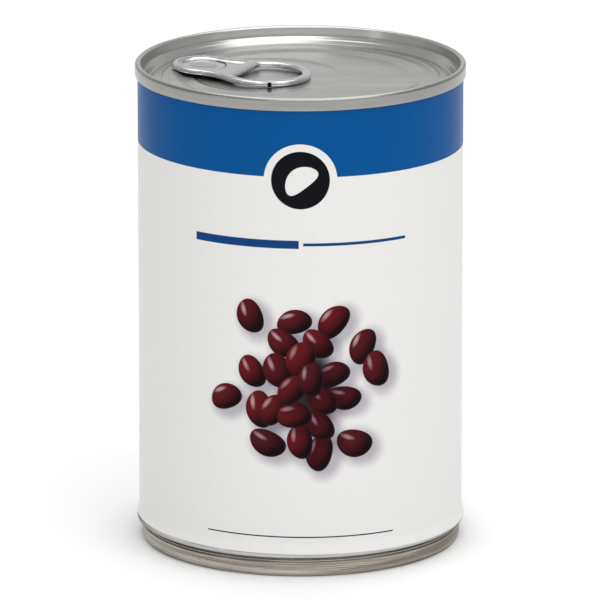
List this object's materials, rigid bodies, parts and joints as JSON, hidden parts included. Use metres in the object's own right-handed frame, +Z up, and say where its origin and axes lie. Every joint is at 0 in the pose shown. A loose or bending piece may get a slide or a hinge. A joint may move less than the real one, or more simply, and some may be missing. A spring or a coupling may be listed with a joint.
{
  "type": "food can",
  "caption": "Unopened steel food can with a ring-pull end, a seamed foot and a wrap-around paper label, standing upright.",
  "frame": {"origin": "on the can's axis, at the foot that it stands on", "axes": "+Z up along the can's axis, -Y towards the printed front of the label"},
  "size_m": [0.0762, 0.0762, 0.1127],
  "materials": {
    "body_tinplate": "bright tinplate",
    "end_tinplate": "satin tinplate with fine rolled grain",
    "foot_tinplate": "satin tinplate, slightly warm",
    "label_paper": "coated paper with a printed band",
    "tab_steel": "bright steel"
  },
  "bodies": {
    "root": {"can_body": "body_tinplate", "easy_open_end": "end_tinplate", "bottom_end": "foot_tinplate", "paper_label": "label_paper", "pull_tab": "tab_steel"}
  },
  "joints": []
}
